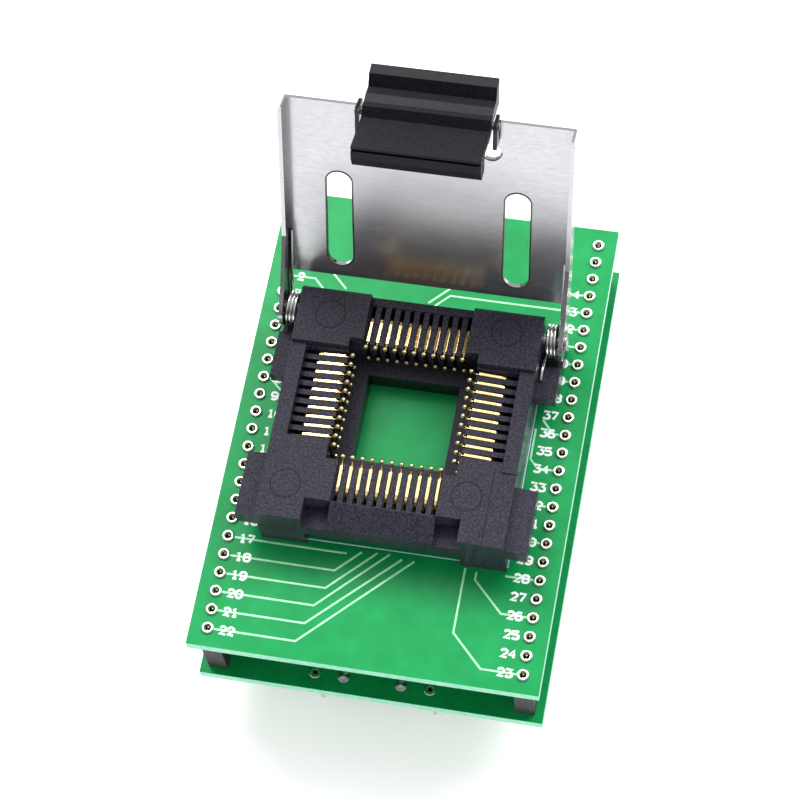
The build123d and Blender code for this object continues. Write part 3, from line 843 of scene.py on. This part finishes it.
EJECTORS = [(-11.6, 11.3, 8.75), (11.5, 12.0, 8.75), (10.2, -11.0, 8.2), (-12.8, -12.6, 8.2)]
EJECTOR_RADIUS = 1.95
EJECTOR_STEPS = 20
EJECTOR_LINE_WIDTH = 0.13
EJECTOR_LINE_HEIGHT = 0.008
# Each mark is a thin near-black ring, painted shade along the mark's edge
for i, (x, y, height) in enumerate(EJECTORS):
    circle = []
    for k in range(2 * EJECTOR_STEPS + 1):
        a = k / EJECTOR_STEPS * math.pi
        circle.append((x + EJECTOR_RADIUS * math.cos(a), y + EJECTOR_RADIUS * math.sin(a)))
    line = EJECTOR_LINE_WIDTH, EJECTOR_LINE_HEIGHT
    strokes(f"ejector_mark_{i}", [circle], *line, BOARD_TOP + height, painted_shade_black, "body")

# Chip contacts: bent strips with rounded shoulders and beaded tips; points are (distance from
# the socket's middle, height above the upper board)

CONTACT_WIDTH = 0.46
ARM_THICKNESS = 0.5
LOWER_THICKNESS = 0.42
NECK_WIDTH = 0.22
NECK_THICKNESS = 0.25
SHOULDER = [(12.8, 0.1), (12.8, 5.2), (12.72, 6.0), (12.5, 6.5), (12.15, 6.8), (11.7, 6.9)]
ARM_END = (8.75, 7.15)
NECK = [(8.85, 7.15), (8.5, 7.0), (8.2, 7.2), (7.95, 7.55), (7.8, 7.75)]
LOWER_ARM = [
    (12.8, 0.35), (9.1, 0.35), (8.78, 0.5), (8.72, 0.9),
    (8.72, 3.1), (8.5, 3.6), (7.95, 4.05),
]
CONTACT_EDGE = 0.09
BEAD_RADIUS = 0.34
BEAD_POLE_RADIUS = 0.005
BEAD_STEPS = 6
BEAD_SIDES = 12
BEADS = ((7.78, 7.80), (7.95, 4.15))


def turned(side, outward, across):
    """(x, y) of a point on a side of the socket: 0 right, 1 back, 2 left, 3 front."""
    cos = (1, 0, -1, 0)[side]
    sin = (0, 1, 0, -1)[side]
    return outward * cos - across * sin, outward * sin + across * cos


def contact_offset(i):
    """How far contact i stands from the middle of its side."""
    return (i - (CONTACTS_PER_SIDE - 1) / 2) * CONTACT_PITCH


def ribbon(path, thickness, width):
    """Vertices and faces of a strip bent along (x, z) points, centred on y = 0."""
    vertices = []
    for k, (x, z) in enumerate(path):
        x0, z0 = path[max(k - 1, 0)]
        x1, z1 = path[min(k + 1, len(path) - 1)]
        length = math.hypot(x1 - x0, z1 - z0)
        nx = (z0 - z1) / length * thickness / 2
        nz = (x1 - x0) / length * thickness / 2
        for y in (-width / 2, width / 2):
            vertices += [(x + nx, y, z + nz), (x - nx, y, z - nz)]
    faces = [(0, 1, 3, 2)]
    for k in range(len(path) - 1):
        a = 4 * k
        for i, j in ((0, 2), (2, 3), (3, 1), (1, 0)):
            faces.append((a + i, a + j, a + 4 + j, a + 4 + i))
    last = 4 * (len(path) - 1)
    faces.append((last + 2, last + 3, last + 1, last))
    return vertices, faces


def contact_parts():
    """The strips of one contact on the +X side."""
    upper = ribbon(SHOULDER + [ARM_END], ARM_THICKNESS, CONTACT_WIDTH)
    neck = ribbon(NECK, NECK_THICKNESS, NECK_WIDTH)
    lower = ribbon(LOWER_ARM, LOWER_THICKNESS, CONTACT_WIDTH)
    return [upper, neck, lower]


def add_contacts(name, side, nodes_replaced):
    """The contacts of one side, as one piece."""
    vertices = []
    faces = []
    for i in range(CONTACTS_PER_SIDE):
        for points, quads in contact_parts():
            start = len(vertices)
            for x, y, z in points:
                vertices.append((*turned(side, x, contact_offset(i) + y), BOARD_TOP + z))
            faces += [tuple(start + k for k in quad) for quad in quads]
    piece = add_mesh(name, vertices, faces, gold, "base", smooth=False)
    soften(piece, CONTACT_EDGE, angle=50)
    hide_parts(nodes_replaced)


for side, word in enumerate(("right", "back", "left", "front")):
    add_contacts(f"chip_contacts_{word}", side, f"contacts_{word}")

arc = [math.pi * (i / BEAD_STEPS - 0.5) for i in range(BEAD_STEPS + 1)]
bead = [(max(BEAD_RADIUS * math.cos(a), BEAD_POLE_RADIUS), BEAD_RADIUS * math.sin(a)) for a in arc]
bead_places = []
for side in range(4):
    for i in range(CONTACTS_PER_SIDE):
        for outward, height in BEADS:
            bead_places.append((*turned(side, outward, contact_offset(i)), BOARD_TOP + height))
# The beads take the paler gold as painted highlight
lathe_group("contact_beads", bead, BEAD_SIDES, bead_places, highlight_gold, "base", "contact")

# Camera at the photograph's viewpoint, with places and directions in metres in the row frame

SENSOR_WIDTH = 36.0
IMAGE_WIDTH = 800
FOCAL_LENGTH = 2792.863  # in pixels of that image
CAMERA_PLACE = (0.053043, -0.139070, 0.353858)
CAMERA_RIGHT = Vector((0.979671, 0.182602, -0.083079))
CAMERA_DOWN = Vector((0.133158, -0.901627, -0.411507))
CAMERA_FORWARD = Vector((-0.150048, 0.392079, -0.907612))

camera_data = bpy.data.cameras.new("camera")
camera = bpy.data.objects.new("camera", camera_data)
bpy.context.collection.objects.link(camera)
camera_data.sensor_width = SENSOR_WIDTH
camera_data.lens = FOCAL_LENGTH / IMAGE_WIDTH * SENSOR_WIDTH
camera_data.clip_start = 0.01
camera_data.clip_end = 20.0
turn = Matrix((CAMERA_RIGHT, -CAMERA_DOWN, -CAMERA_FORWARD)).transposed().to_4x4()
camera.matrix_world = Matrix.Translation(CAMERA_PLACE) @ turn
bpy.context.scene.camera = camera

# Floor and light

FLOOR_SIZE = 6.0
FLOOR_GLOW = 0.40
WORLD_STRENGTH = 0.72
SKY_UP = (-0.1, 0.45, 0.88)
SKY_STOPS = [(0.0, (0.22, 0.22, 0.22)), (0.8, (1.0, 1.0, 1.0))]

floor_material = new_material("floor", (0.86, 0.86, 0.86), 0.7, Emission_Strength=FLOOR_GLOW)
floor_shader = floor_material.node_tree.nodes["Principled BSDF"]
floor_shader.inputs["Emission Color"].default_value = (1.0, 1.0, 1.0, 1.0)
floor_stops = [(0.3, (0.85, 0.85, 0.85)), (0.7, (0.87, 0.87, 0.87))]
color_from(floor_material, noise(floor_material, 8.0), floor_stops)
bpy.ops.mesh.primitive_plane_add(size=FLOOR_SIZE, location=(0, 0, 0))
floor = bpy.context.object
floor.name = "floor"
floor.data.materials.append(floor_material)

# The world is brighter towards the back, so the lid's low part mirrors a darker sky
world = bpy.data.worlds.new("world")
bpy.context.scene.world = world
world.use_nodes = True
background = world.node_tree.nodes["Background"]
background.inputs["Strength"].default_value = WORLD_STRENGTH
sky_coords = add_node(world, "ShaderNodeTexCoord")
sky_height = add_node(world, "ShaderNodeVectorMath", operation="DOT_PRODUCT")
sky_height.inputs[1].default_value = SKY_UP
link(world, sky_coords.outputs["Generated"], sky_height.inputs[0])
link(world, ramp(world, sky_height.outputs["Value"], SKY_STOPS), background.inputs["Color"])


def area_light(name, size, power, place, target):
    """A square area light that faces a point."""
    data = bpy.data.lights.new(name, "AREA")
    data.size = size
    data.energy = power
    light = bpy.data.objects.new(name, data)
    bpy.context.collection.objects.link(light)
    light.location = place
    light.rotation_euler = (Vector(target) - Vector(place)).to_track_quat("-Z", "Y").to_euler()
    return light


LIGHT_TARGET = (0, 0, 0.02)
area_light("back_softbox", 0.35, 4.6, (-0.32, 0.42, 0.60), LIGHT_TARGET)
area_light("right_softbox", 0.40, 4.6, (0.38, 0.42, 0.54), LIGHT_TARGET)
area_light("top_softbox", 0.55, 1.45, (-0.135, 0.351, 0.82), LIGHT_TARGET)
# The low front light reaches the lower board, and stays out of the lid's reflections
front_fill = area_light("front_fill", 0.30, 3.6, (0.20, -0.62, 0.09), LIGHT_TARGET)
front_fill.visible_glossy = False

bpy.context.scene.view_settings.view_transform = "Standard"
